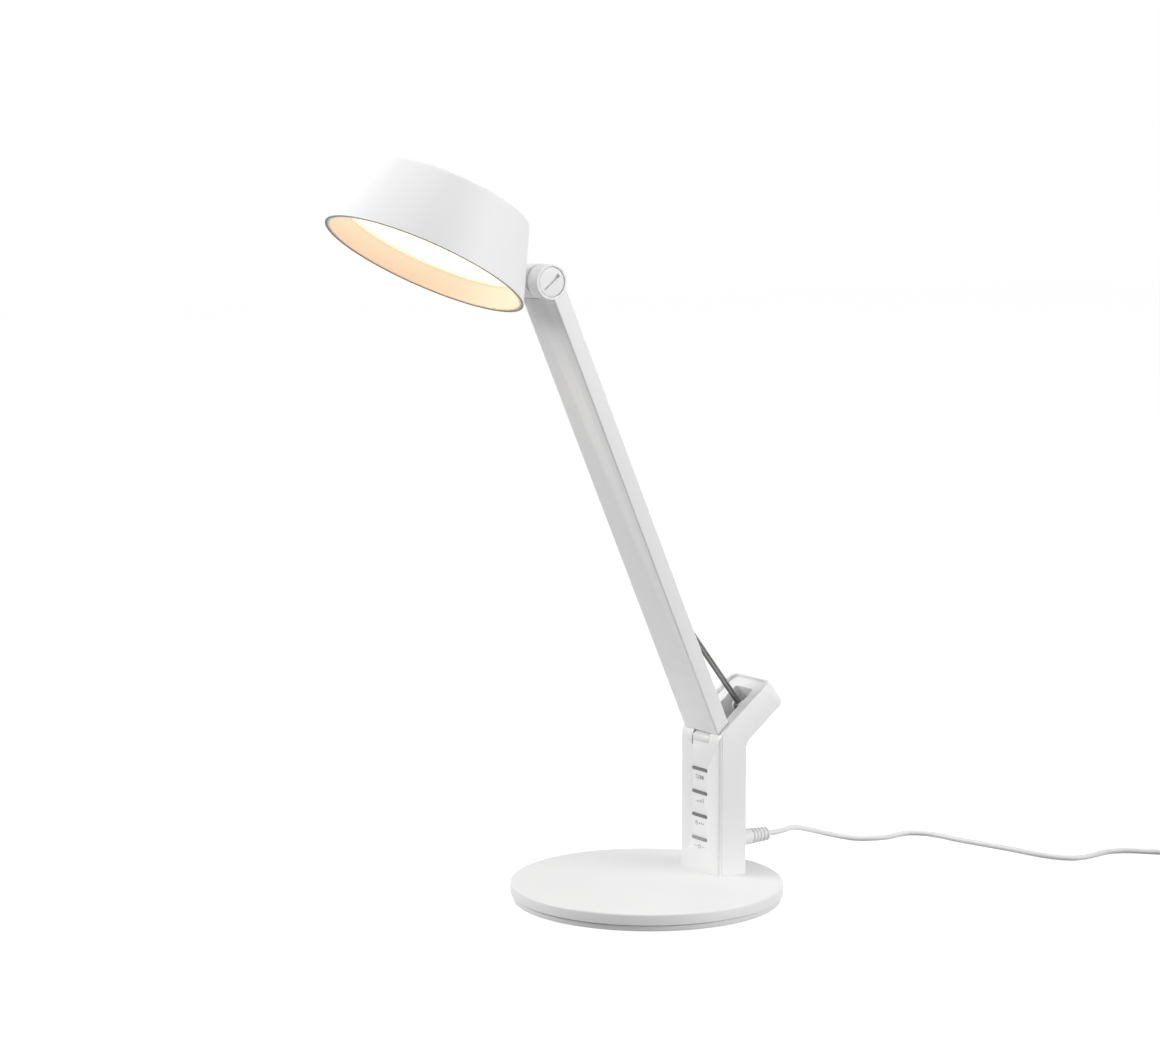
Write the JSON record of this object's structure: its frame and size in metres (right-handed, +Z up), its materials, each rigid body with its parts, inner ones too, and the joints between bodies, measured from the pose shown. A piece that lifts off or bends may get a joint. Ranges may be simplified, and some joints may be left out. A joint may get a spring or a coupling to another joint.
{
  "type": "desk lamp",
  "caption": "White LED desk lamp: round weighted base, upright with a column of keys, flat spring-balanced arm and a tilting conical shade, with a low-voltage lead and wall adapter.",
  "frame": {"origin": "middle of the base plate's underside, on the table", "axes": "+Z up; -Y to the front, where the keys face and the arm leans; +Y to the back, where the power lead leaves; +X to the right seen from the front"},
  "size_m": [0.3051, 0.5943, 0.4304],
  "materials": {
    "white_shell": "satin white",
    "white_plate": "satin white powder coat",
    "pale_part": "satin off-white",
    "warm_white": "matte, lit from behind",
    "lit_diffuser": "opal, lit",
    "steel": "plain",
    "dark_steel": "polished dark",
    "spring_steel": "plain",
    "sheet_aluminium": "plain",
    "weight_iron": "plain",
    "grey_keys": "satin grey",
    "light_key": "satin light grey",
    "dark_plastic": "matte",
    "board": "satin",
    "pad_foam": "matte",
    "lead": "satin white",
    "copper_leds": "gloss"
  },
  "bodies": {
    "base": {"base_cover": "white_plate", "base_weight": "weight_iron", "base_bottom": "pale_part", "base_pad": "pad_foam", "base_screws": "steel", "stem_shell": "white_shell", "stem_front": "white_shell", "stem_foot": "sheet_aluminium", "stem_screws": "steel", "trough_insert": "white_shell", "rod_bracket": "pale_part", "rod_pin": "steel", "hinge_block": "pale_part", "elbow_pin": "steel", "elbow_washer": "steel", "key_board": "board", "key_switches": "dark_plastic", "dc_jack": "dark_plastic", "dc_plug": "lead", "plug_barrel": "steel", "cord_run": "lead", "cord_coil": "lead", "coil_tie": "dark_plastic", "cord_tail": "lead", "adapter_case": "white_shell", "adapter_face": "white_shell", "adapter_pins": "steel", "adapter_relief": "lead"},
    "arm": {"arm_channel": "white_shell", "arm_back": "white_shell", "arm_knuckle": "pale_part", "arm_screws": "steel", "arm_wire": "pale_part", "spring_anchor": "pale_part", "balance_spring": "spring_steel", "pivot_bolt": "pale_part", "pivot_nut": "pale_part", "pivot_washers": "steel"},
    "slider": {"spring_slider": "dark_plastic"},
    "rod": {"pull_rod": "dark_steel"},
    "head": {"head_knuckle": "white_shell", "neck_screw": "dark_steel", "neck_plate": "pale_part", "neck_screws": "steel", "shade_shell": "white_shell", "reflector": "warm_white", "diffuser": "lit_diffuser", "led_board": "warm_white", "leds": "copper_leds", "heat_sink": "sheet_aluminium", "shade_screws": "steel"},
    "colour_key": {"key_colour": "grey_keys"},
    "dimmer_key": {"key_dimmer": "grey_keys"},
    "timer_key": {"key_timer": "grey_keys"},
    "power_key": {"key_power": "light_key"}
  },
  "joints": [
    {"name": "elbow", "type": "hinge", "parent": "base", "child": "arm", "pos_m": [0, 0.0425, 0.0903], "axis": [1, 0, 0], "range_deg": [-8, 46]},
    {"name": "rod_foot", "type": "hinge", "parent": "base", "child": "rod", "pos_m": [0, 0.06817, 0.1072], "axis": [1, 0, 0], "range_deg": [-8, 45]},
    {"name": "spring_slide", "type": "slide", "parent": "arm", "child": "slider", "axis": [0, -0.4067, 0.9135], "range_m": [-0.024, 0.0045], "deforming": ["balance_spring"]},
    {"name": "shade_tilt", "type": "hinge", "parent": "arm", "child": "head", "pos_m": [0, -0.07684, 0.36227], "axis": [-1, 0, 0], "range_deg": [-40, 55]},
    {"name": "colour_press", "type": "slide", "parent": "base", "child": "colour_key", "axis": [0, 1, 0], "range_m": [0, 0.0006], "stiffness_N_per_m": 300, "springref_m": -0.0005},
    {"name": "dimmer_press", "type": "slide", "parent": "base", "child": "dimmer_key", "axis": [0, 1, 0], "range_m": [0, 0.0006], "stiffness_N_per_m": 300, "springref_m": -0.0005},
    {"name": "timer_press", "type": "slide", "parent": "base", "child": "timer_key", "axis": [0, 1, 0], "range_m": [0, 0.0006], "stiffness_N_per_m": 300, "springref_m": -0.0005},
    {"name": "power_press", "type": "slide", "parent": "base", "child": "power_key", "axis": [0, 1, 0], "range_m": [0, 0.0006], "stiffness_N_per_m": 300, "springref_m": -0.0005}
  ],
  "couplings": [
    {"joint": "rod_foot", "follows": "elbow", "ratio": 0.96},
    {"joint": "spring_slide", "follows": "elbow", "m_per_rad": -0.02885}
  ]
}
